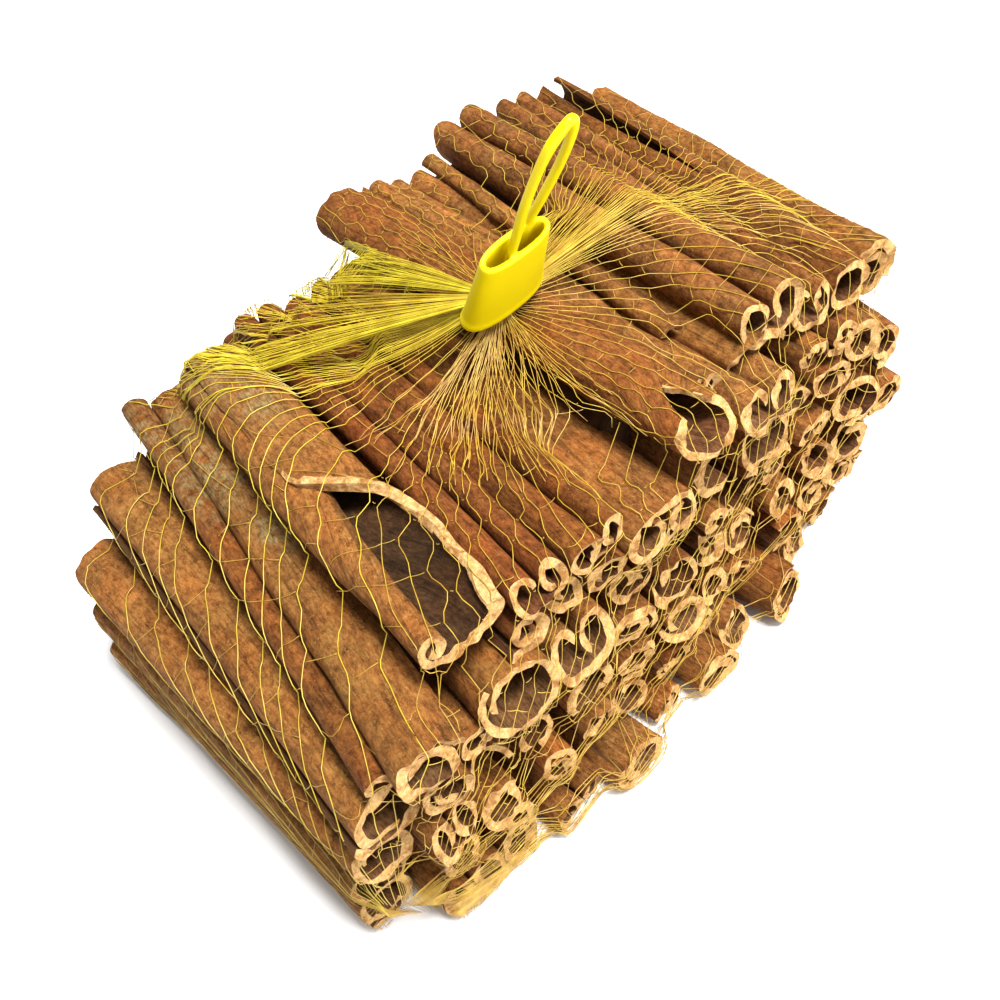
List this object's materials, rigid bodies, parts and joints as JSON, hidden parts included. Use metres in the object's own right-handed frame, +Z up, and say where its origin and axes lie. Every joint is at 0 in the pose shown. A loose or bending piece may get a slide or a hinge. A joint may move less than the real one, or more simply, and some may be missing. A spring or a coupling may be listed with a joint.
{
  "type": "bundle of cinnamon sticks",
  "caption": "Parallel curled cinnamon sticks in a stretched knitted net bag, gathered on top into a moulded clip with a hanging loop.",
  "frame": {"origin": "on the floor under the middle of the whole part", "axes": "+X along the bundle's wide side, across the sticks; +Y along the sticks, away from the end that shows; +Z up, towards the clip"},
  "size_m": [0.1452, 0.093, 0.097],
  "materials": {
    "bark": "dry matte bark, fibrous",
    "net": "shiny knitted yarn",
    "clip": "smooth moulded, satin"
  },
  "bodies": {
    "root": {"cinnamon_bundle": "bark", "net_gather": "net", "net_clip": "clip"}
  },
  "joints": []
}
